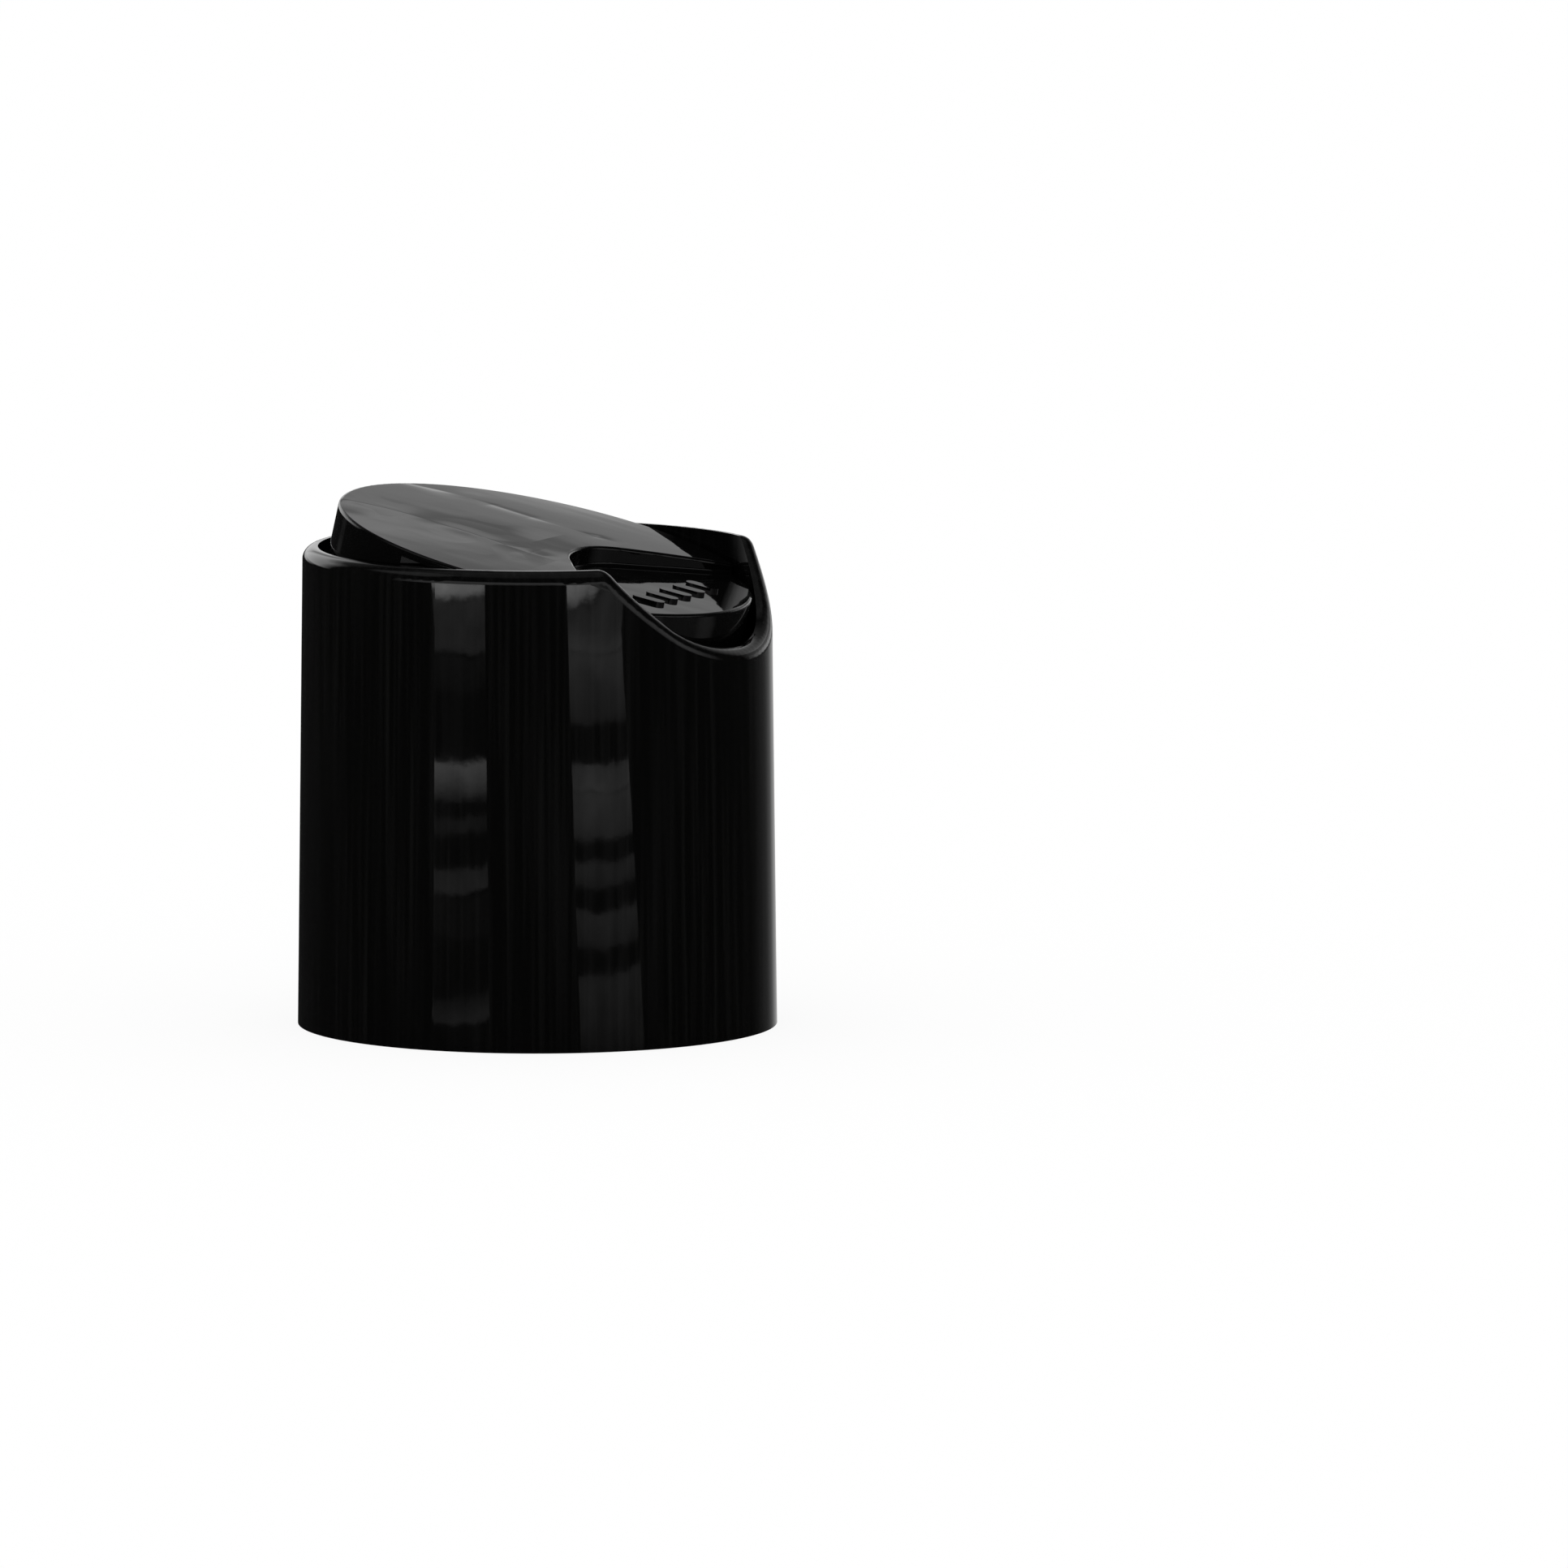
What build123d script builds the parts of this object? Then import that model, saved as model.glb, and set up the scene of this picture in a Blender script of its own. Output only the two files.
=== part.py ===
from build123d import *

import math
import os

# Disc top cap for a 24 mm bottle neck, in millimetres.
# The origin is the middle of the bottom rim, +Z is up, the pour outlet faces -Y and the press pad +Y.
# The disc is modelled shut and then turned about its trunnions to the open position.

# Inner skirt that screws on the neck, with its lead-in at the mouth
root_radius = 12.15
skirt_wall = 0.6
skirt_recess = 0.15
mouth_lead = 0.4

# Outer shell, drafted towards the top and tied to the skirt by ribs
height = 27.6
skirt_gap = 0.6
shell_wall_base = 0.45
shell_wall_deck = 0.6
shell_draft = 0.32
rim_round = 0.75
rim_land = 0.13
rib_count = 18
rib_width = 0.9
rib_recess = 0.4

# Scooped notch behind the press pad
notch_half_angle = 46.64
notch_vee = 7.15
notch_depth = 5.2
notch_corner = 3.2

# Thread ridge
thread_depth = 1.15
thread_pitch = 3.175
thread_turns = 1.5
thread_start = 3.2
thread_root_width = 2.1
thread_crest_width = 0.8
thread_runout = 16.0

# Deck, liner and the bead that keeps the liner in
well_depth = 11.2
deck_wall = 1.3
liner_thickness = 1.1
liner_clearance = 0.2
bead_gap = 0.05
bead_slope = 0.3
bead_land = 0.5
bead_lead = 0.9

# Disc
disc_clearance = 0.4
disc_sink = 0.3
disc_depth = 5.0
disc_crown = 0.4
disc_wall = 0.9
plate_wall = 1.15
disc_edge_round = 0.18
cheek_inset = 0.55
cheek_lip = 0.45
cheek_wall = 0.9
stiffener_inset = 0.9
stiffener_wall = 0.7
stiffener_depth = 1.5

# Press pad
pad_front = 2.1
pad_nose_radius = 5.6
pad_arm_angle = 36.0
pad_front_depth = 0.74
pad_rear_depth = 0.4
pad_cove = 0.18
grip_count = 5
grip_pitch = 1.8
grip_width = 0.8
grip_length = 2.0
grip_height = 0.18
grip_inset = 3.7

# Trunnions and their bosses
pivot_place = 1.9
pivot_drop = 2.5
open_angle = 13.3
trunnion_radius = 0.8
trunnion_fit = 0.05
trunnion_reach = 0.75
trunnion_end_gap = 0.1
trunnion_chamfer = 0.15
cheek_gap = 0.15
boss_half_width = 2.3
boss_cover = 0.35
boss_lead = 0.25

# Ball seal between deck and disc
ball_radius = 6.0
ball_wall = 0.8
ball_spare_angle = 1.5
seal_angle = 56.4
seal_gap = 0.05
collar_wall = 0.8
collar_seat = 0.5
inlet_radius = 1.3
inlet_wall = 0.7
post_lap = 0.4
orifice_radius = 3.6
spoke_count = 3
spoke_width = 0.9

# Flow channel in the disc
channel_width = 3.2
channel_height = 1.7
channel_wall = 0.9

# Stop ribs on the deck
stop_place = 3.0
stop_wall = 0.8
stop_reach = 2.0
stop_gap = 0.08

# Levels and radii that follow from the sizes above
skirt_radius = root_radius + skirt_wall
crest_radius = root_radius - thread_depth
base_radius = skirt_radius + skirt_gap + shell_wall_base
top_radius = base_radius - shell_draft
rim_wall = rim_round + rim_land
well_radius = top_radius - rim_wall
deck_top = height - well_depth
deck_level = deck_top - deck_wall
disc_radius = well_radius - disc_clearance
disc_top = height - disc_sink
disc_bottom = disc_top - disc_depth
plate_under = disc_top - plate_wall
cheek_face = disc_radius - cheek_inset
boss_face = cheek_face + cheek_gap
grip_place = disc_radius - grip_inset
pivot_level = disc_top - pivot_drop
collar_radius = ball_radius * math.sin(math.radians(seal_angle))
neck_angle = seal_angle + open_angle + ball_spare_angle
neck_radius = (ball_radius - ball_wall / 2) * math.sin(math.radians(neck_angle))
stiffener_place = neck_radius - stiffener_inset
ball = Pos(0, pivot_place, pivot_level)

# How far a cutter reaches past what it cuts, how far one form sinks into the form that carries it,
# and how near a point lies to a surface that it is on
PAST = 1.0
SINK = 0.2
NEAR = 0.01
REACH = 4 * base_radius

UPWARD = (Align.CENTER, Align.CENTER, Align.MIN)


def shell_radius(level):
    """Outer radius of the drafted shell at a level above the bottom rim."""
    return base_radius - shell_draft * level / height


def post_between(radius, low, high, place=0.0):
    """An upright cylinder between two levels, its axis at Y = place."""
    return Pos(0, place, low) * Cylinder(radius, high - low, align=UPWARD)


def cross_pin(radius, inner, outer):
    """Two cylinders on the trunnion axis, one at each side, from X = inner to X = outer."""
    pin = Pos((inner + outer) / 2, 0, 0) * Rot(0, 90, 0) * Cylinder(radius, outer - inner)
    return ball * (pin + mirror(pin, Plane.YZ))


def plate_across(points, wall, place=0.0):
    """A plate square to X at X = place, from its outline as (Y, Z) points."""
    outline = Plane.YZ.offset(place - wall / 2) * Polyline(*points, close=True)
    return extrude(make_face(outline), amount=wall)


def points_on(edge):
    """Three points of an edge, enough to tell which surface it runs along."""
    return [edge @ share for share in (0, 0.35, 0.7)]


def turned_body():
    """Shell, deck and inner skirt as one revolve."""
    gap_at_deck = shell_radius(deck_level) - shell_wall_deck
    outline = Polyline(
        (base_radius, 0),
        (top_radius, height),
        (well_radius, height),
        (well_radius, deck_top),
        (0, deck_top),
        (0, deck_level),
        (root_radius, deck_level),
        (root_radius, skirt_recess + 2 * mouth_lead),
        (root_radius + mouth_lead, skirt_recess),
        (skirt_radius, skirt_recess),
        (skirt_radius, deck_level),
        (gap_at_deck, deck_level),
        (base_radius - shell_wall_base, 0),
        close=True,
    )
    return revolve(make_face(Plane.XZ * outline), axis=Axis.Z)


def notch_section(place):
    """Outline of the finger scoop at Y = place: a vee with a round bottom, rounded out into the rim."""
    half_width = place * math.tan(math.radians(notch_half_angle))
    side = math.hypot(half_width, notch_vee)
    bottom_round = (notch_vee - notch_depth) / (side / half_width - 1)
    corner_round = notch_corner * place / top_radius
    corners = [(-half_width, 0), (0, -notch_vee), (half_width, 0)]
    scoop = make_face(Polyline((-REACH, PAST), (-REACH, 0), *corners, (REACH, 0), (REACH, PAST), close=True))
    scoop = fillet([v for v in scoop.vertices() if v.Y < -notch_depth], bottom_round)
    scoop = fillet([v for v in scoop.vertices() if abs(v.Y) < SINK and abs(v.X) < half_width + SINK], corner_round)
    return Plane.XZ.offset(-place) * scoop


def notch_cutter():
    """The scoop widens away from the axis, so that its face is square to the shell all round."""
    return Pos(0, 0, height) * loft([notch_section(well_radius / 2), notch_section(base_radius + PAST)])


def on_shell_edge(edge):
    """True for an edge of the rim or the notch that lies on the shell's outer face."""
    points = points_on(edge)
    outside = all(abs(math.hypot(p.X, p.Y) - shell_radius(p.Z)) < NEAR for p in points)
    return outside and all(p.Z > height - notch_depth - SINK for p in points)


def rimmed_shell():
    """The turned body with its notch, the outer edge of rim and notch rounded in one run."""
    shell = turned_body() - notch_cutter()
    return fillet([edge for edge in shell.edges() if on_shell_edge(edge)], rim_round)


def skirt_ribs():
    """Radial ribs that tie the inner skirt to the shell, set back from the mouth."""
    inner = skirt_radius - SINK
    outer = base_radius - shell_wall_base / 2
    rib = Box(outer - inner, rib_width, deck_level + SINK - rib_recess, align=UPWARD)
    rib = Pos((inner + outer) / 2, 0, rib_recess) * rib
    return [place * rib for place in PolarLocations(0, rib_count)]


def runout_cutter(angle, turn, level):
    """Wedge that slants one end of the ridge from its crest down to the root."""
    outline = [
        (root_radius, angle),
        (crest_radius - SINK, angle + turn * thread_runout),
        (crest_radius - PAST, angle - turn * thread_runout / 4),
        (root_radius, angle - turn * thread_runout / 4),
    ]
    corners = [(r * math.cos(math.radians(a)), r * math.sin(math.radians(a))) for r, a in outline]
    wedge = extrude(make_face(Polyline(*corners, close=True)), amount=thread_pitch)
    return Pos(0, 0, level - thread_pitch / 2) * wedge


def thread_ridge():
    """Right-hand ridge of one and a half turns, its crest trimmed to a true cylinder."""
    helix = Helix(pitch=thread_pitch, height=thread_turns * thread_pitch, radius=root_radius)
    flank = SINK * (thread_root_width - thread_crest_width) / 2 / thread_depth
    root = thread_root_width / 2 + flank
    crest = thread_crest_width / 2 - flank
    section = Plane(origin=helix @ 0, x_dir=(-1, 0, 0), z_dir=helix % 0) * Polyline(
        (-SINK, -root),
        (thread_depth + SINK, -crest),
        (thread_depth + SINK, crest),
        (-SINK, root),
        close=True,
    )
    ridge = sweep(make_face(section), path=helix, is_frenet=True)
    ridge -= post_between(crest_radius, -thread_pitch, (thread_turns + 1) * thread_pitch)
    ridge -= runout_cutter(0, 1, 0)
    ridge -= runout_cutter(360 * thread_turns, -1, thread_turns * thread_pitch)
    return Pos(0, 0, thread_start) * ridge


def liner_bead():
    """Ring just below the liner, as deep as the thread, that the liner snaps past and rests behind."""
    top = deck_level - liner_thickness - bead_gap
    low = top - bead_slope - bead_land
    outline = Polyline(
        (root_radius + SINK, top),
        (crest_radius, top - bead_slope),
        (crest_radius, low),
        (root_radius + SINK, low - bead_lead),
        close=True,
    )
    return revolve(make_face(Plane.XZ * outline), axis=Axis.Z)


def trunnion_bosses():
    """Flat-faced bosses that rise from the deck to the trunnions, with a lead-in at the top."""
    top = pivot_level + trunnion_radius + trunnion_fit + boss_cover
    outline = Polyline(
        (boss_face, deck_top - SINK),
        (boss_face, top - boss_lead),
        (boss_face + boss_lead, top),
        (top_radius, top),
        (top_radius, deck_top - SINK),
        close=True,
    )
    boss = extrude(make_face(Plane.XZ * outline), amount=boss_half_width, both=True)
    boss = (Pos(0, pivot_place, 0) * boss) & post_between(well_radius + rim_wall / 2, 0, height)
    return boss + mirror(boss, Plane.YZ)


def trunnion_sockets():
    """Blind bearing holes for the trunnions."""
    bottom = cheek_face + trunnion_reach + trunnion_end_gap
    return cross_pin(trunnion_radius + trunnion_fit, boss_face - cheek_gap / 2, bottom)


def deck_seal():
    """Seal collar, and the closing post on spokes in the orifice, both seated on the ball."""
    ball_space = ball * Sphere(ball_radius + seal_gap)
    seat = pivot_level - math.sqrt((ball_radius + seal_gap) ** 2 - collar_radius**2)
    collar = post_between(collar_radius + collar_wall, deck_level, seat + collar_seat, pivot_place)
    collar -= post_between(collar_radius, deck_level, height, pivot_place)
    post_radius = inlet_radius + post_lap
    post = post_between(post_radius, deck_level, pivot_level - ball_radius + SINK, pivot_place)
    spoke = Box(orifice_radius + SINK, spoke_width, deck_wall, align=(Align.MIN, Align.CENTER, Align.MIN))
    spokes = [Pos(0, pivot_place, deck_level) * place * spoke for place in PolarLocations(0, spoke_count, 90)]
    return (collar + post - ball_space) + spokes


def open_underside(place):
    """Level of the open disc's lower edge at Y = place."""
    angle = math.radians(open_angle)
    drop = pivot_level - disc_bottom
    along = place - pivot_place + drop * math.sin(angle)
    return pivot_level - drop * math.cos(angle) - along * math.tan(angle)


def stop_ribs():
    """Ribs on the deck that the disc comes down on: the front pair shut, the rear pair open."""
    near = well_radius - stop_reach
    low = deck_top - SINK
    shut = disc_bottom - stop_gap
    front = [(-well_radius, low), (-well_radius, shut), (-near, shut), (-near, low)]
    rear = [
        (near, low),
        (near, open_underside(near) - stop_gap),
        (well_radius, open_underside(well_radius) - stop_gap),
        (well_radius, low),
    ]
    return [plate_across(rib, stop_wall, side * stop_place) for rib in (front, rear) for side in (-1, 1)]


def closure_body():
    """The moulding that screws on the neck and carries the disc."""
    body = rimmed_shell()
    body += skirt_ribs()
    body += thread_ridge()
    body += liner_bead()
    body += trunnion_bosses()
    body += stop_ribs()
    body -= post_between(orifice_radius, deck_level, deck_top, pivot_place)
    body += deck_seal()
    body -= trunnion_sockets()
    return body


def liner():
    """Round wad pressed up against the deck, clear of the thread roots."""
    return post_between(root_radius - liner_clearance, deck_level - liner_thickness, deck_level)


def pad_level(place):
    """Level of the press pad's floor at Y = place, before the disc is tilted."""
    share = (place - pad_front) / (disc_radius - pad_front)
    return disc_top - pad_front_depth + (pad_front_depth - pad_rear_depth) * share


def pad_outline(grow):
    """The pad from above: a vee with a round nose that widens to the rear, its edge moved out by grow."""
    nose_centre = (0, pad_front + pad_nose_radius)
    nose = CenterArc(nose_centre, pad_nose_radius + grow, 270 - pad_arm_angle, 2 * pad_arm_angle)
    out = REACH * math.cos(math.radians(pad_arm_angle))
    back = REACH * math.sin(math.radians(pad_arm_angle))
    arms = Polyline(nose @ 1, nose @ 1 + Vector(out, back), nose @ 0 + Vector(-out, back), nose @ 0)
    return make_face(nose + arms)


def pad_space(grow, drop):
    """What lies above the pad's floor, lowered by drop, within the pad's outline moved out by grow."""
    near = -disc_radius
    far = 2 * REACH
    above = [
        (near, pad_level(near) - drop),
        (far, pad_level(far) - drop),
        (far, height + PAST),
        (near, height + PAST),
    ]
    column = Pos(0, 0, disc_bottom) * extrude(pad_outline(grow), amount=disc_depth + PAST)
    return column & plate_across(above, 2 * REACH)


def at_step_foot(edge):
    """True for an edge of the space over the pad that runs along the foot of the step."""
    on_floor = all(abs(p.Z - pad_level(p.Y)) < NEAR for p in points_on(edge))
    return on_floor and min((edge @ 0).Y, (edge @ 1).Y) < disc_radius


def pad_cutter():
    """The space over the pad, rounded below to leave a cove at the foot of the step."""
    space = pad_space(0, 0)
    return fillet([edge for edge in space.edges() if at_step_foot(edge)], pad_cove)


def on_disc_edge(edge):
    """True for an edge of the domed top or the pad: on the outer wall, or along the top of the step."""
    points = points_on(edge)
    above_pad = all(p.Z > disc_top - pad_front_depth - SINK for p in points)
    on_wall = all(abs(math.hypot(p.X, p.Y) - disc_radius) < NEAR for p in points)
    on_step = all(p.Z > disc_top - NEAR and p.Y > pad_front - SINK for p in points)
    return above_pad and (on_wall or on_step)


def domed_disc():
    """The disc's outer form with its pad cut in, all its upper edges rounded in one run."""
    crown = disc_top + disc_crown
    profile = Polyline((0, crown), (0, disc_bottom), (disc_radius, disc_bottom), (disc_radius, disc_top))
    profile += TangentArc((0, crown), (disc_radius, disc_top), tangent=(1, 0))
    form = revolve(make_face(Plane.XZ * profile), axis=Axis.Z) - pad_cutter()
    return fillet([edge for edge in form.edges() if on_disc_edge(edge)], disc_edge_round)


def pad_grips():
    """A row of short raised bars with round ends on the pad, for the fingertip."""
    slope = (pad_front_depth - pad_rear_depth) / (disc_radius - pad_front)
    first = -(grip_count - 1) / 2 * grip_pitch
    level = pad_level(grip_place) - SINK
    bars = []
    for number in range(grip_count):
        floor = Plane((first + number * grip_pitch, grip_place, level), x_dir=(1, 0, 0), z_dir=(0, -slope, 1))
        bar = SlotOverall(grip_length, grip_width, rotation=90)
        bars.append(extrude(floor * bar, amount=SINK + grip_height))
    return bars


def disc_cup():
    """The domed disc, flattened at the cheeks below a thin lip and hollow underneath."""
    cup = domed_disc()
    below_lip = disc_depth - cheek_lip
    for side in (-1, 1):
        flat = Box(2 * PAST, REACH, below_lip, align=UPWARD)
        cup -= Pos(side * (cheek_face + PAST), 0, disc_bottom) * flat
    cavity = post_between(disc_radius - disc_wall, disc_bottom, plate_under)
    cavity &= Pos(0, 0, disc_bottom) * Box(2 * (cheek_face - cheek_wall), REACH, disc_depth, align=UPWARD)
    return cup - (cavity - pad_space(plate_wall, plate_wall))


def ball_ring():
    """Seal ring under the plate: a zone of the ball wide enough for the whole swing, then a straight neck."""
    low = seal_angle - open_angle - ball_spare_angle
    high = neck_angle
    top = plate_under + SINK - pivot_level

    def on_ball(radius, angle):
        return (radius * math.sin(math.radians(angle)), -radius * math.cos(math.radians(angle)))

    def zone(radius):
        return ThreePointArc(*[on_ball(radius, angle) for angle in (low, seal_angle, high)])

    inside = ball_radius - ball_wall
    profile = zone(ball_radius) + zone(inside)
    profile += Line(on_ball(ball_radius, low), on_ball(inside, low))
    profile += Polyline(
        on_ball(ball_radius, high),
        (on_ball(ball_radius, high)[0], top),
        (on_ball(inside, high)[0], top),
        on_ball(inside, high),
    )
    return ball * revolve(make_face(Plane.XZ * profile), axis=Axis.Z)


def inlet_tube():
    """Tube from the plate down to the ball, where the post on the deck closes it when shut."""
    tube = post_between(inlet_radius + inlet_wall, pivot_level - ball_radius - PAST, plate_under, pivot_place)
    return tube & (ball * Sphere(ball_radius))


def channel_roof(place):
    """Level of the flow channel's roof at Y = place: under the pad at the inlet, under the plate in front."""
    under_pad = disc_top - pad_front_depth - plate_wall
    share = (place + disc_radius) / (pivot_place + disc_radius)
    return plate_under + (under_pad - plate_under) * share


def channel_block():
    """Walls and floor of the flow channel, hung from the plate."""
    front = -disc_radius + disc_wall / 2
    back = pivot_place + inlet_radius + inlet_wall / 2
    deep = channel_height + channel_wall
    sides = [
        (front, channel_roof(front) - deep),
        (back, channel_roof(back) - deep),
        (back, plate_under + SINK),
        (front, plate_under + SINK),
    ]
    return plate_across(sides, channel_width + 2 * channel_wall)


def flow_path():
    """The space that the product flows through: up the inlet, along the channel and out of the front wall."""
    front = -disc_radius - PAST
    back = pivot_place
    bore = post_between(inlet_radius, pivot_level - ball_radius - PAST, channel_roof(back), pivot_place)
    run = [
        (front, channel_roof(front) - channel_height),
        (back, channel_roof(back) - channel_height),
        (back, channel_roof(back)),
        (front, channel_roof(front)),
    ]
    return bore + plate_across(run, channel_width)


def stiffeners():
    """Two ribs under the plate from the front wall back into the middle of the ball ring's neck."""
    back = pivot_place - math.sqrt(neck_radius**2 - stiffener_place**2)
    front = -math.sqrt((disc_radius - disc_wall / 2) ** 2 - stiffener_place**2)
    low = plate_under - stiffener_depth
    high = plate_under + SINK
    rib = [(front, low), (back, low), (back, high), (front, high)]
    return [plate_across(rib, stiffener_wall, side * stiffener_place) for side in (-1, 1)]


def trunnions():
    """Pins on the cheeks, chamfered so that they snap down past the bosses."""
    pins = cross_pin(trunnion_radius, cheek_face - cheek_wall / 2, cheek_face + trunnion_reach)
    tips = pins.edges().filter_by(GeomType.CIRCLE).sort_by(Axis.X)
    return chamfer([tips[0], tips[-1]], trunnion_chamfer)


def disc():
    """The tilting disc with its press pad and flow channel, in its open position."""
    underneath = ball_ring() + inlet_tube() + channel_block() + stiffeners()
    body = disc_cup()
    body += underneath - pad_space(0, SINK)
    body += trunnions()
    body -= flow_path()
    body += pad_grips()
    return body.rotate(Axis((0, pivot_place, pivot_level), (1, 0, 0)), -open_angle)


os.makedirs("parts", exist_ok=True)
pieces = {"closure_body": closure_body(), "disc": disc(), "liner": liner()}
for name, piece in pieces.items():
    piece.label = name
    export_step(piece, os.path.join("parts", name + ".step"))
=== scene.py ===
import math

import bmesh
import bpy
import numpy as np
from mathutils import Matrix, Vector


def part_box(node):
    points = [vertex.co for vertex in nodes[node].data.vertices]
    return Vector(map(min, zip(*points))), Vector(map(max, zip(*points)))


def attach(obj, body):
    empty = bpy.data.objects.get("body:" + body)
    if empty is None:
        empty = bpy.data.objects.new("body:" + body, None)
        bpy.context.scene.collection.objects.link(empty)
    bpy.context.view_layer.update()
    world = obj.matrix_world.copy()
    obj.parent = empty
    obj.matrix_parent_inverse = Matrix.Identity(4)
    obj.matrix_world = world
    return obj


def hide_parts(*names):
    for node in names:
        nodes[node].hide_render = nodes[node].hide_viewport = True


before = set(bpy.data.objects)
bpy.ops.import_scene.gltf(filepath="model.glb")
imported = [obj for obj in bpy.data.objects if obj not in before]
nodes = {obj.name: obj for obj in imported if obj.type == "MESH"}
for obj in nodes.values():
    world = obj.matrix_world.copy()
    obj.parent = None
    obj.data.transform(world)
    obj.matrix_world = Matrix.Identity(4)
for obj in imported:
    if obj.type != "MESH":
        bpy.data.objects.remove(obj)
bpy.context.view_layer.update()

# Closure body
# The outer moulding: shell, deck, threaded skirt and bosses in one shot of polypropylene. It is polished where the
# cavity steel was polished, and carries the faint upright drag lines of its long pull off the core.
# Lengths are in millimetres here and below, unless a comment says metres.
MM = 0.001
BODY_BLACK = "#040404"
SCUFFED_BLACK = "#0d0d0d"
PLASTIC_IOR = 1.49
GLOSS = 0.035
GLOSS_SPREAD = 0.02
GLOSS_CLOUD = 2.5
NOISE_LOW, NOISE_HIGH = 0.3, 0.7
PEEL_SIZE = 0.9
PEEL_HEIGHT = 0.0008
DRAG_WIDTH = 0.35
DRAG_STRETCH = 0.012
DRAG_DETAIL = 3.0
DRAG_HEIGHT = 0.0006
SCUFF_FROM, SCUFF_FULL = 0.45, 0.75
FLOW_SIZE = 7.0
FLOW_STRETCH = 0.5
FLOW_HEIGHT = 0.006


def linear(colour):
    """A colour written as sRGB hex, turned into linear red, green, blue and an alpha of 1."""
    parts = [int(colour[i : i + 2], 16) / 255 for i in (1, 3, 5)]
    return [c / 12.92 if c <= 0.04045 else ((c + 0.055) / 1.055) ** 2.4 for c in parts] + [1.0]


def add(tree, kind, sockets, **settings):
    """Adds one shader node. Each socket takes a plain value, an output, or a node, whose first output is meant."""
    node = tree.nodes.new("ShaderNode" + kind)
    for name, value in settings.items():
        setattr(node, name, value)
    for name, value in sockets.items():
        if isinstance(value, bpy.types.Node):
            value = value.outputs[0]
        if isinstance(value, bpy.types.NodeSocket):
            tree.links.new(value, node.inputs[name])
        else:
            node.inputs[name].default_value = value
    return node


def new_material(name):
    """An empty node material, and the object coordinates that its patterns read."""
    material = bpy.data.materials.new(name)
    material.use_nodes = True
    tree = material.node_tree
    tree.nodes.clear()
    place = add(tree, "TexCoord", {}).outputs["Object"]
    return material, tree, place


def noise(tree, place, size, stretch=1.0, detail=2.0):
    """Soft noise whose lumps measure size in millimetres, drawn out along Z where stretch is below 1."""
    scale = 1 / (size * MM)
    spread = add(tree, "Mapping", {"Vector": place, "Scale": (scale, scale, scale * stretch)})
    return add(tree, "TexNoise", {"Vector": spread.outputs[0], "Scale": 1.0, "Detail": detail}).outputs["Fac"]


def relief(tree, height, depth, below=None):
    """Bump of a real depth in millimetres, laid over another bump."""
    sockets = {"Height": height, "Strength": 1.0, "Distance": depth * MM}
    if below is not None:
        sockets["Normal"] = below
    return add(tree, "Bump", sockets).outputs["Normal"]


def gloss_black(name):
    """Black polypropylene off polished steel: the colour and gloss that body and disc share, and its orange peel."""
    material, tree, place = new_material(name)
    cloud = {"Value": noise(tree, place, GLOSS_CLOUD), "From Min": NOISE_LOW, "From Max": NOISE_HIGH}
    spread = {"To Min": GLOSS - GLOSS_SPREAD / 2, "To Max": GLOSS + GLOSS_SPREAD / 2}
    rough = add(tree, "MapRange", {**cloud, **spread})
    skin = relief(tree, noise(tree, place, PEEL_SIZE), PEEL_HEIGHT)
    finish = add(
        tree,
        "BsdfPrincipled",
        {"Base Color": linear(BODY_BLACK), "IOR": PLASTIC_IOR, "Roughness": rough, "Normal": skin},
    )
    add(tree, "OutputMaterial", {"Surface": finish.outputs[0]})
    return material, tree, place, skin, finish


def dress(node, material):
    """Gives a carried-over CAD node its finish in every material slot."""
    slots = nodes[node].data.materials
    slots.clear()
    slots.append(material)


body_finish, tree, place, skin, finish = gloss_black("moulded_polypropylene_body")
streak = noise(tree, place, DRAG_WIDTH, DRAG_STRETCH, DRAG_DETAIL)
drag = relief(tree, streak, DRAG_HEIGHT, skin)
tint = add(tree, "ValToRGB", {"Fac": streak})
stops = ((SCUFF_FROM, BODY_BLACK), (SCUFF_FULL, SCUFFED_BLACK))
for element, (spot, colour) in zip(tint.color_ramp.elements, stops):
    element.position, element.color = spot, linear(colour)
tree.links.new(tint.outputs[0], finish.inputs["Base Color"])
flow = relief(tree, noise(tree, place, FLOW_SIZE, FLOW_STRETCH), FLOW_HEIGHT, drag)
tree.links.new(flow, finish.inputs["Normal"])
dress("closure_body", body_finish)

# Disc
# The tilting disc, a second moulding of the same black. Its top wavers along the two ribs underneath, where the plate
# cooled last: a crease from front to rear over each rib, with flow waves drawn out the same way.
RIB_PLACE = 4.4
NEAR_CREASE = {"place": RIB_PLACE, "reach": 2.0, "height": 0.055, "seed": 0.0}
FAR_CREASE = {"place": -RIB_PLACE, "reach": 1.3, "height": -0.05, "seed": 9.0}
CREASE_SOFTNESS = 0.12
CREASE_WANDER = 1.0
CREASE_LUMP = 5.5
PATCH_SIZE = 2.75
PATCH_FROM, PATCH_FULL = 0.3, 0.6
PATCH_FAINTEST = 0.35
RIB_END = 2.6
RIB_FADE = 0.8
WAVE_WIDTH = 1.8
WAVE_STRETCH = 0.25
WAVE_DETAIL = 0.5
WAVE_HEIGHT = 0.011


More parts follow.
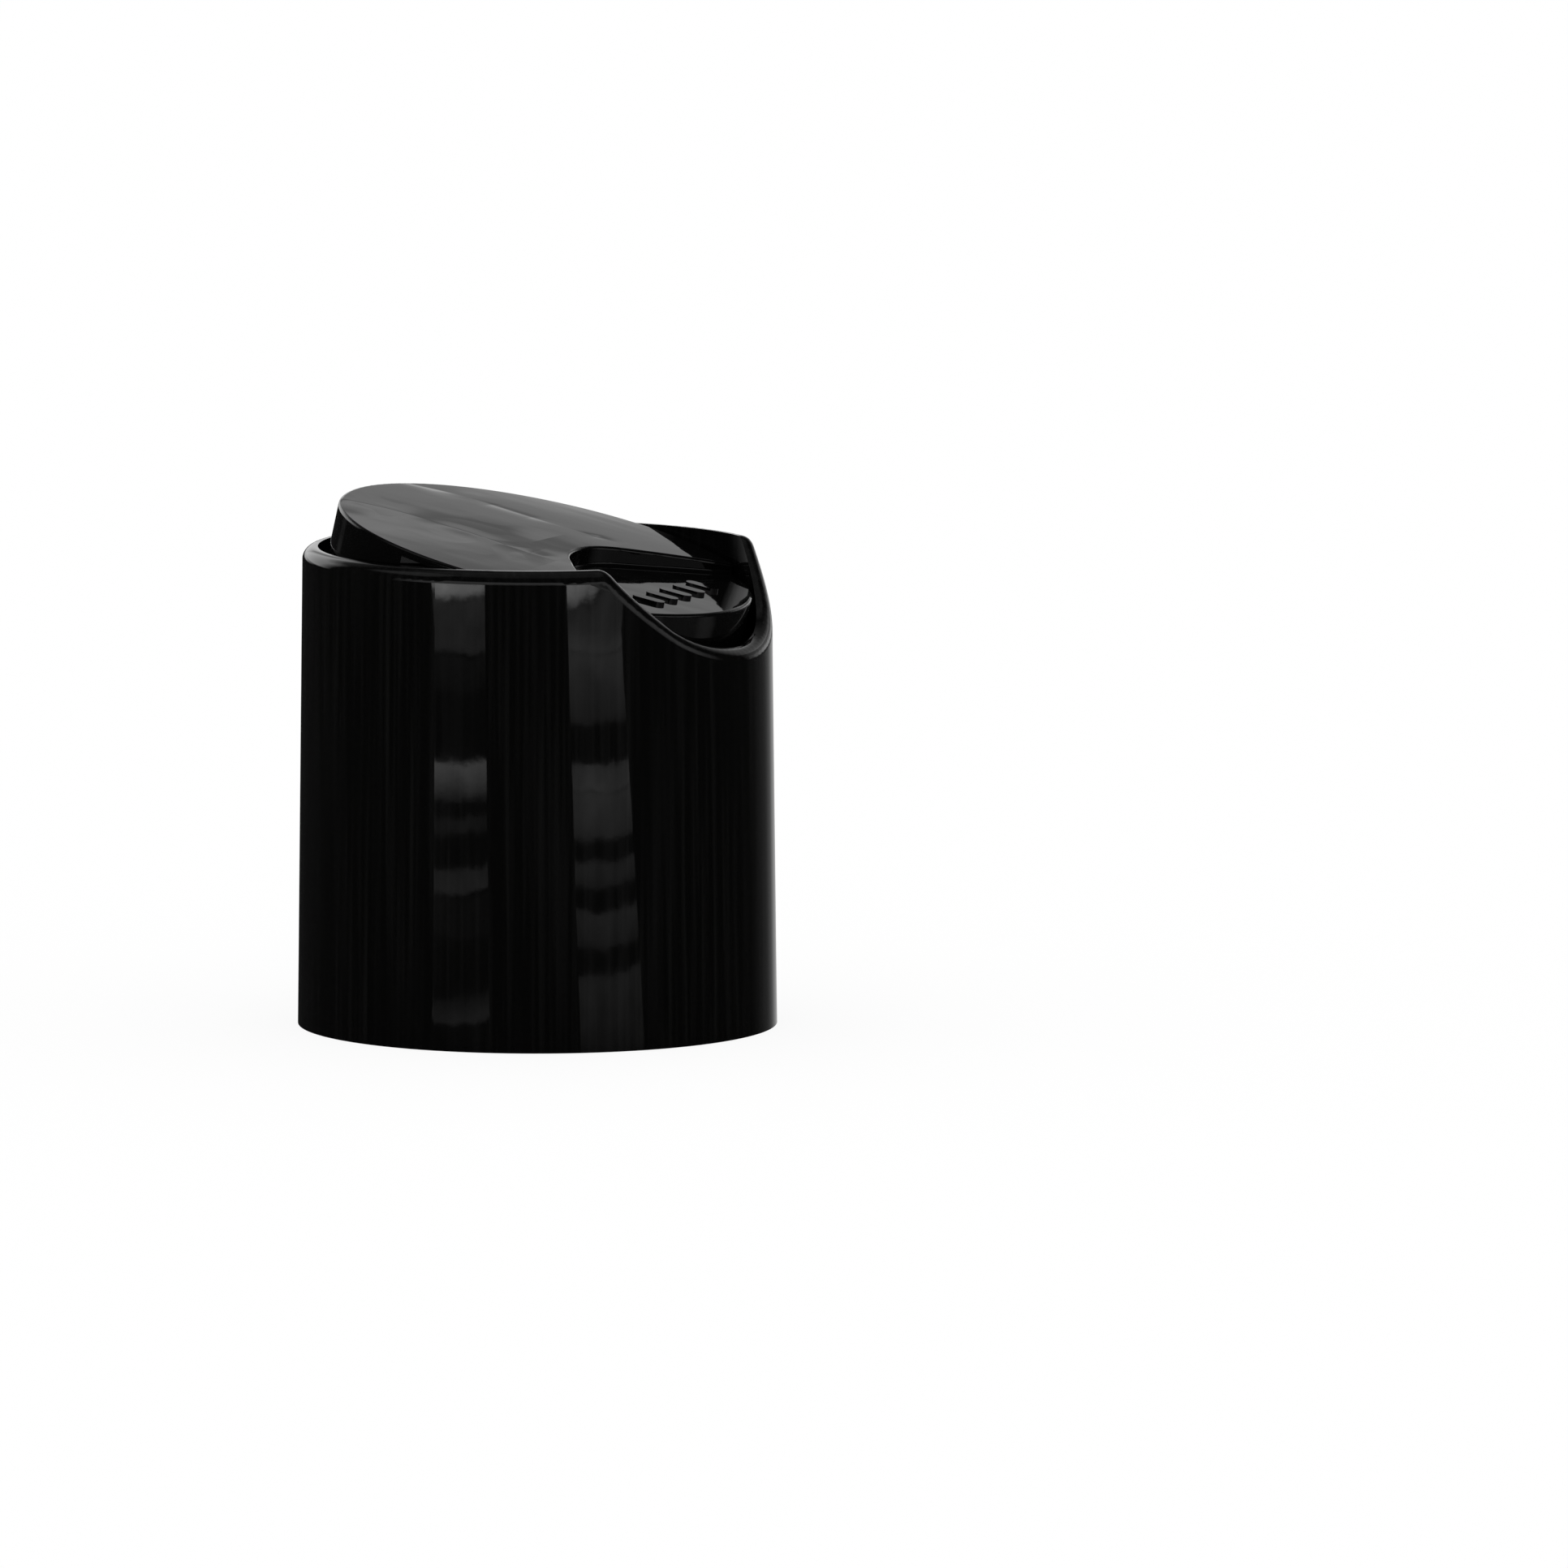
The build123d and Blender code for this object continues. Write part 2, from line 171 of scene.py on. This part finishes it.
def grey_ramp(tree, value, low, high, stops):
    """A grey level that runs through (place, level) stops as value goes from low to high."""
    share = add(tree, "MapRange", {"Value": value, "From Min": low, "From Max": high}).outputs[0]
    ramp = add(tree, "ValToRGB", {"Fac": share})
    elements = ramp.color_ramp.elements
    for _ in stops[2:]:
        elements.new(0.5)
    for element, (place, level) in zip(elements, stops):
        element.position = (place - low) / (high - low)
        element.color = (level, level, level, 1)
    return ramp.outputs[0]


disc_finish, tree, place, skin, finish = gloss_black("moulded_polypropylene_disc")
spot = add(tree, "SeparateXYZ", {"Vector": place})
across = add(tree, "Math", {0: spot.outputs["X"], 1: MM}, operation="DIVIDE")
rib_end = {"From Min": (RIB_END + RIB_FADE) * MM, "From Max": (RIB_END - RIB_FADE) * MM}
over_rib = add(tree, "MapRange", {"Value": spot.outputs["Y"], **rib_end})
plate = skin
# Each crease is a fold that dies away on both sides of a wandering line, and is fainter in patches.
for crease in (NEAR_CREASE, FAR_CREASE):
    shifted = add(tree, "Mapping", {"Vector": place, "Location": (0.0, 0.0, crease["seed"] * MM)}).outputs[0]
    wander = add(tree, "Math", {0: noise(tree, shifted, CREASE_LUMP, 1.0, 0.0), 1: 0.5}, operation="SUBTRACT")
    wander = add(tree, "Math", {0: wander, 1: 2 * CREASE_WANDER}, operation="MULTIPLY")
    off = add(tree, "Math", {0: across, 1: crease["place"]}, operation="SUBTRACT")
    off = add(tree, "Math", {0: off, 1: wander}, operation="ADD")
    off = add(tree, "Math", {0: off, 1: off}, operation="MULTIPLY")
    off = add(tree, "Math", {0: off, 1: CREASE_SOFTNESS**2}, operation="ADD")
    off = add(tree, "Math", {0: off}, operation="SQRT")
    off = add(tree, "Math", {0: off, 1: -crease["reach"]}, operation="DIVIDE")
    patches = {"Value": noise(tree, shifted, PATCH_SIZE, 1.0, 0.0), "From Min": PATCH_FROM, "From Max": PATCH_FULL}
    patches = add(tree, "MapRange", {**patches, "To Min": PATCH_FAINTEST})
    fold = add(tree, "Math", {0: off}, operation="EXPONENT")
    fold = add(tree, "Math", {0: fold, 1: patches}, operation="MULTIPLY")
    fold = add(tree, "Math", {0: fold, 1: over_rib}, operation="MULTIPLY")
    plate = relief(tree, fold, crease["height"], plate)
scale = 1 / (WAVE_WIDTH * MM)
drawn_out = add(tree, "Mapping", {"Vector": place, "Scale": (scale, scale * WAVE_STRETCH, scale)}).outputs[0]
waves = add(tree, "TexNoise", {"Vector": drawn_out, "Scale": 1.0, "Detail": WAVE_DETAIL}).outputs["Fac"]
tree.links.new(relief(tree, waves, WAVE_HEIGHT, plate), finish.inputs["Normal"])
dress("disc", disc_finish)

# Liner
# The wad under the deck: foam faced with a thin white film, pushed in from the mouth. The film is crinkled by that, and
# a faint ring shows where the neck's lip has pressed.
WAD_WHITE = "#f2f2f0"
WAD_SHADE = "#e6e6e3"
WAD_RINGS = 120
WAD_SPOKES = 600
WAD_EDGE_ROUND = 0.25
WAD_EDGE_STEPS = 8
SAME_POINT = 0.00000001
CRINKLE_DEPTH = 0.07
CRINKLE_WAVES = 48
CRINKLE_SHORTEST = 0.7
CRINKLE_LONGEST = 3.5
CRINKLE_SEED = 11
LIP_RADIUS = 9.6
LIP_WIDTH = 0.9
LIP_DEPTH = 0.05
MOTTLE_SIZE = 1.6
FILM_DETAIL = 4.0
FILM_GRAIN = 0.3
FILM_GRAIN_DEPTH = 0.01
FILM_ROUGHNESS = 0.55
FILM_SHEEN = 0.05


def crinkles(x, y, rng):
    """Height from 0 to 1 of a crumpled film: the folded sum of many plane waves in random directions."""
    total = np.zeros_like(x)
    for _ in range(CRINKLE_WAVES):
        length = CRINKLE_SHORTEST * (CRINKLE_LONGEST / CRINKLE_SHORTEST) ** rng.random()
        turn, phase = rng.random(2) * 2 * math.pi
        along = x * math.cos(turn) + y * math.sin(turn)
        total += length * np.sin(2 * math.pi * along / length + phase)
    total /= np.abs(total).max()
    return 1 - np.abs(total)


def turned_sheet(name, radius, height):
    """A closed mesh on a polar grid: radius and height hold a row for each ring, and the poles are merged."""
    rings, spokes = radius.shape
    angle = np.linspace(0, 2 * math.pi, spokes, endpoint=False)
    points = np.stack([radius * np.cos(angle), radius * np.sin(angle), height], axis=2).reshape(-1, 3)
    inner = np.arange((rings - 1) * spokes).reshape(rings - 1, spokes)
    beside = np.roll(inner, -1, axis=1)
    faces = np.stack([inner, beside, beside + spokes, inner + spokes], axis=2).reshape(-1, 4)
    mesh = bpy.data.meshes.new(name)
    mesh.from_pydata((points * MM).tolist(), [], faces.tolist())
    merged = bmesh.new()
    merged.from_mesh(mesh)
    bmesh.ops.remove_doubles(merged, verts=merged.verts, dist=SAME_POINT)
    merged.to_mesh(mesh)
    merged.free()
    mesh.validate()
    mesh.shade_smooth()
    piece = bpy.data.objects.new(name, mesh)
    bpy.context.scene.collection.objects.link(piece)
    return piece


low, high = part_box("liner")
wad_radius = high.x / MM
wad_low, wad_high = low.z / MM, high.z / MM
ring = np.linspace(0, 1, WAD_RINGS)
corner = np.linspace(0, math.pi / 2, WAD_EDGE_STEPS)[1:]
flat = wad_radius - WAD_EDGE_ROUND
profile_radius = np.concatenate([ring * flat, flat + WAD_EDGE_ROUND * np.sin(corner), [wad_radius, 0]])
profile_height = np.concatenate([ring * 0, WAD_EDGE_ROUND * (1 - np.cos(corner)), [wad_high - wad_low] * 2])
radius = np.repeat(profile_radius[:, None], WAD_SPOKES, axis=1)
height = np.repeat(profile_height[:, None], WAD_SPOKES, axis=1) + wad_low
angle = np.linspace(0, 2 * math.pi, WAD_SPOKES, endpoint=False)
x, y = radius * np.cos(angle), radius * np.sin(angle)
faced = np.arange(len(profile_radius)) < WAD_RINGS
fade = np.clip((flat - profile_radius) / WAD_EDGE_ROUND, 0, 1) * faced
pressed = LIP_DEPTH * np.exp(-(((radius - LIP_RADIUS) / LIP_WIDTH) ** 2))
film_height = CRINKLE_DEPTH * (1 - crinkles(x, y, np.random.default_rng(CRINKLE_SEED)))
height += fade[:, None] * (film_height + pressed)
wad = turned_sheet("liner_wad", radius, height)

film, tree, place = new_material("foam_wad_with_white_film")
tone = add(tree, "ValToRGB", {"Fac": noise(tree, place, MOTTLE_SIZE, 1.0, FILM_DETAIL)})
tone.color_ramp.elements[0].color = linear(WAD_SHADE)
tone.color_ramp.elements[1].color = linear(WAD_WHITE)
grain = relief(tree, noise(tree, place, FILM_GRAIN, 1.0, FILM_DETAIL), FILM_GRAIN_DEPTH)
finish = add(
    tree,
    "BsdfPrincipled",
    {"Base Color": tone.outputs[0], "Roughness": FILM_ROUGHNESS, "Normal": grain, "Sheen Weight": FILM_SHEEN},
)
add(tree, "OutputMaterial", {"Surface": finish.outputs[0]})
wad.data.materials.append(film)
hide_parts("liner")
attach(wad, "base")

# Floor and light
# A white sweep that the camera sees, and a dark studio for the gloss to mirror: a lit backdrop low behind the cap, a
# white card at its left, and two light cards close in front, crossed by the shadows of what stands between.
# FLOOR_SIZE and FLOOR_GAP are in metres: the floor lies a hair below the rim, so that their faces don't mix.
VIEW_AZIMUTH = 115.0
VIEW_ELEVATION = 7.1
FLOOR_SIZE = 6.0
FLOOR_GLOW = 0.88
FLOOR_GAP = 0.00002


def heading(azimuth, elevation=0.0):
    """Unit vector from the cap towards an azimuth and elevation in degrees; azimuth 0 is -Y and 90 is +X."""
    a, e = math.radians(azimuth), math.radians(elevation)
    return np.array([math.sin(a) * math.cos(e), -math.cos(a) * math.cos(e), math.sin(e)])


def quad(name, corners):
    """One flat stage panel from its corners in metres."""
    mesh = bpy.data.meshes.new(name)
    mesh.from_pydata([tuple(corner) for corner in corners], [], [(0, 1, 2, 3)])
    panel = bpy.data.objects.new(name, mesh)
    bpy.context.scene.collection.objects.link(panel)
    return panel


floor_corners = [(-1, -1), (1, -1), (1, 1), (-1, 1)]
floor = quad("floor", [(x * FLOOR_SIZE, y * FLOOR_SIZE, -FLOOR_GAP) for x, y in floor_corners])
floor.visible_glossy = False
paper, tree, place = new_material("white_paper_sweep")
matt = add(tree, "BsdfDiffuse", {"Color": (1, 1, 1, 1)})
bright = add(tree, "Emission", {"Color": (1, 1, 1, 1), "Strength": 1.0})
seen = add(tree, "LightPath", {}).outputs["Is Camera Ray"]
share = add(tree, "Math", {0: seen, 1: FLOOR_GLOW}, operation="MULTIPLY")
both = add(tree, "MixShader", {0: share, 1: matt.outputs[0], 2: bright.outputs[0]})
add(tree, "OutputMaterial", {"Surface": both.outputs[0]})
floor.data.materials.append(paper)

# What the gloss mirrors: each panel is a level of light by elevation, times one by the turn from straight behind the
# cap to the right. The first three light the side that the camera sees, and the rest are soft panels that only the
# cap's other sides mirror.
BEHIND = [
    (-1, 0), (1, 0.9), (7, 0.9), (9.5, 0.78), (11.3, 0.46), (13, 0.38), (14.5, 0.4), (15.7, 0.38), (16.6, 0.31),
    (17.5, 0.26), (18.5, 0.3), (19.4, 0.52), (20.4, 0.6), (21.4, 0.55), (22.5, 0.43), (24, 0.36), (32, 0.1),
    (50, 0.02),
]
LEFT = [(2, 0), (5, 1.1), (24, 1.1), (34, 0.1), (50, 0)]
LOW = [(-13, 0), (-9, 1), (0, 1), (1, 0)]
ROUND_THE_FRONT = [(-3.5, 0), (1, 0.25), (6, 0.55), (14, 0.55), (20, 0)]
HIGH_LEFT = [(34, 0), (44, 0.26), (60, 0.26), (70, 0)]
OVERHEAD = [(50, 0), (64, 0.11), (90, 0.11)]
FLOOR_LIGHT = [(-90, 0.3), (-60, 0.5), (-24, 0.5), (-20.5, 0)]
PANELS = (
    (BEHIND, [(-40, 0), (-20, 1), (35, 1), (55, 0)]),
    (LEFT, [(-58, 0), (-44, 1), (-14, 1), (-5, 0)]),
    (LOW, [(2, 0), (6, 0.55), (16, 0.42), (24, 0.18), (32, 0.08), (45, 0.03), (60, 0)]),
    (ROUND_THE_FRONT, [(72, 0), (92, 1), (180, 1)]),
    (ROUND_THE_FRONT, [(-180, 1), (-125, 1), (-105, 0)]),
    (HIGH_LEFT, [(-125, 0), (-110, 1), (-75, 1), (-60, 0)]),
    (OVERHEAD, [(-180, 1), (180, 1)]),
    (FLOOR_LIGHT, [(-10, 0), (15, 1), (60, 1), (80, 0.15), (105, 0.15), (120, 1), (160, 1), (180, 0.15)]),
    (FLOOR_LIGHT, [(-180, 0.15), (-130, 0.15), (-110, 1), (-80, 1), (-60, 0)]),
)
DARK_STUDIO = 0.012

world = bpy.data.worlds.new("studio")
bpy.context.scene.world = world
world.use_nodes = True
tree = world.node_tree
tree.nodes.clear()
path = add(tree, "LightPath", {})
way = add(tree, "TexCoord", {}).outputs["Generated"]
rise = add(tree, "SeparateXYZ", {"Vector": way}).outputs["Z"]
elevation = add(tree, "Math", {0: rise}, operation="ARCSINE")
elevation = add(tree, "Math", {0: elevation}, operation="DEGREES")
away, aside = [
    add(tree, "VectorMath", {0: way, 1: heading(azimuth)}, operation="DOT_PRODUCT").outputs["Value"]
    for azimuth in (VIEW_AZIMUTH + 180, VIEW_AZIMUTH + 90)
]
turn = add(tree, "Math", {0: aside, 1: away}, operation="ARCTAN2")
turn = add(tree, "Math", {0: turn}, operation="DEGREES")
studio = DARK_STUDIO
for by_elevation, by_turn in PANELS:
    upright = grey_ramp(tree, elevation, -90, 90, by_elevation)
    sideways = grey_ramp(tree, turn, -180, 180, by_turn)
    panel = add(tree, "Math", {0: upright, 1: sideways}, operation="MULTIPLY")
    studio = add(tree, "Math", {0: studio, 1: panel}, operation="MAXIMUM")
mirrored = add(tree, "Background", {"Color": studio, "Strength": 1.0})
ambient = add(tree, "Background", {"Color": (1, 1, 1, 1), "Strength": 1.0})
shown = add(tree, "MixShader", {0: path.outputs["Is Glossy Ray"], 1: ambient.outputs[0], 2: mirrored.outputs[0]})
add(tree, "OutputWorld", {"Surface": shown.outputs[0]})

# The light cards: how far they stand, their left and right edges at the top and the bottom, and their lit panes, from
# and to a height on the cap, with the light at both ends. Lengths are in millimetres. What the wall mirrors at a
# height stands CARD_DROP lower on the card, as the wall leans a little and is seen from above.
CARD_DISTANCE = 80.0
CARD_TOP, CARD_LOW = 27.4, -2.0
WALL_RADIUS = 13.6
WALL_LEAN = 0.65
CARD_DROP = (CARD_DISTANCE - WALL_RADIUS) * math.tan(math.radians(VIEW_ELEVATION - 2 * WALL_LEAN))
PANE_EDGE = 0.15
PANE_MARGIN = 1
BETWEEN_PANES = 0.02
PANE_WAVER = 1.1
WAVER_NOISE = {"size": 12.0, "stretch": 4.0, "detail": 4.0}
CLOUD_NOISE = {"size": 14.0, "stretch": 6.0, "detail": 5.0}
CLOUD_DEPTH = 0.25
LEFT_PANES = (
    (1.0, 2.6, 0.2, 0.08), (5.9, 8.4, 0.04, 0.05), (8.7, 10.2, 0.26, 0.22), (12.3, 13.3, 0.14, 0.12),
    (14.2, 16.6, 0.15, 0.95), (20.6, 22.7, 0.04, 0.06), (22.9, 26.1, 0.22, 0.27), (26.4, 27.6, 1.6, 2.4),
)
RIGHT_PANES = (
    (-1.5, 3.9, 0.05, 0.2), (5.5, 7.7, 0.14, 0.22), (9.2, 10.7, 0.16, 0.22), (12.0, 14.8, 0.24, 0.4),
    (14.8, 16.5, 0.5, 0.36), (18.9, 23.2, 0.16, 0.38), (23.2, 25.5, 0.46, 0.24), (25.8, 27.6, 1.3, 2.4),
)
CARDS = {
    "left": (75.8, (-15.5, 23.0), (-15.7, 27.2), LEFT_PANES),
    "right": (143.8, (-21.6, 11.9), (-12.7, 30.4), RIGHT_PANES),
}
for side, (azimuth, top_edges, low_edges, panes) in CARDS.items():
    front, across = heading(azimuth) * CARD_DISTANCE, heading(azimuth + 90)
    rim = [(CARD_LOW, edge) for edge in low_edges] + [(CARD_TOP, edge) for edge in reversed(top_edges)]
    corners = [(front + across * edge + np.array([0, 0, height - CARD_DROP])) * MM for height, edge in rim]
    card = quad(f"light_card_{side}", corners)
    card.visible_camera = card.visible_diffuse = card.visible_shadow = False
    glow, tree, place = new_material(f"light_card_{side}")
    waver = add(tree, "Math", {0: noise(tree, place, **WAVER_NOISE), 1: 0.5}, operation="SUBTRACT")
    cloudy = {"Value": noise(tree, place, **CLOUD_NOISE), "From Min": NOISE_LOW, "From Max": NOISE_HIGH}
    cloudy = add(tree, "MapRange", {**cloudy, "To Min": 1 - CLOUD_DEPTH, "To Max": 1 + CLOUD_DEPTH})
    upward = add(tree, "SeparateXYZ", {"Vector": place}).outputs["Z"]
    upward = add(tree, "Math", {0: upward, 1: MM}, operation="DIVIDE")
    upward = add(tree, "Math", {0: upward, 1: CARD_DROP}, operation="ADD")
    waver = add(tree, "Math", {0: waver, 1: PANE_WAVER}, operation="MULTIPLY")
    upward = add(tree, "Math", {0: upward, 1: waver}, operation="ADD")
    level = BETWEEN_PANES
    for low, high, dim, lit in panes:
        stops = [(low - PANE_EDGE, 0), (low + PANE_EDGE, dim), (high - PANE_EDGE, lit), (high + PANE_EDGE, 0)]
        pane = grey_ramp(tree, upward, low - PANE_MARGIN, high + PANE_MARGIN, stops)
        level = add(tree, "Math", {0: level, 1: pane}, operation="MAXIMUM")
    level = add(tree, "Math", {0: level, 1: cloudy}, operation="MULTIPLY")
    light = add(tree, "Emission", {"Color": level, "Strength": 1.0})
    add(tree, "OutputMaterial", {"Surface": light.outputs[0]})
    card.data.materials.append(glow)

# Camera
# A long lens a metre and a half away, a little above the rim and behind the cap's right shoulder. It looks at the
# middle of the photograph, which has the cap left of it. CAMERA_DISTANCE is in metres.
CAMERA_DISTANCE = 1.5
PHOTO_SIDE = 1932
PIXELS_PER_MM = 21.42
CAP_AXIS_PIXEL = 662
MIDDLE_HEIGHT = 13.79
SENSOR = 36.0

camera_data = bpy.data.cameras.new("camera")
camera_data.sensor_width = SENSOR
camera_data.lens = SENSOR * PIXELS_PER_MM / PHOTO_SIDE * CAMERA_DISTANCE / MM
camera = bpy.data.objects.new("camera", camera_data)
bpy.context.scene.collection.objects.link(camera)
bpy.context.scene.camera = camera
to_right = heading(VIEW_AZIMUTH + 90)
target = to_right * (PHOTO_SIDE / 2 - CAP_AXIS_PIXEL) / PIXELS_PER_MM * MM + np.array([0, 0, MIDDLE_HEIGHT * MM])
camera.location = target + heading(VIEW_AZIMUTH, VIEW_ELEVATION) * CAMERA_DISTANCE
camera.rotation_euler = (math.radians(90 - VIEW_ELEVATION), 0, math.radians(VIEW_AZIMUTH))
bpy.context.scene.view_settings.view_transform = "Standard"
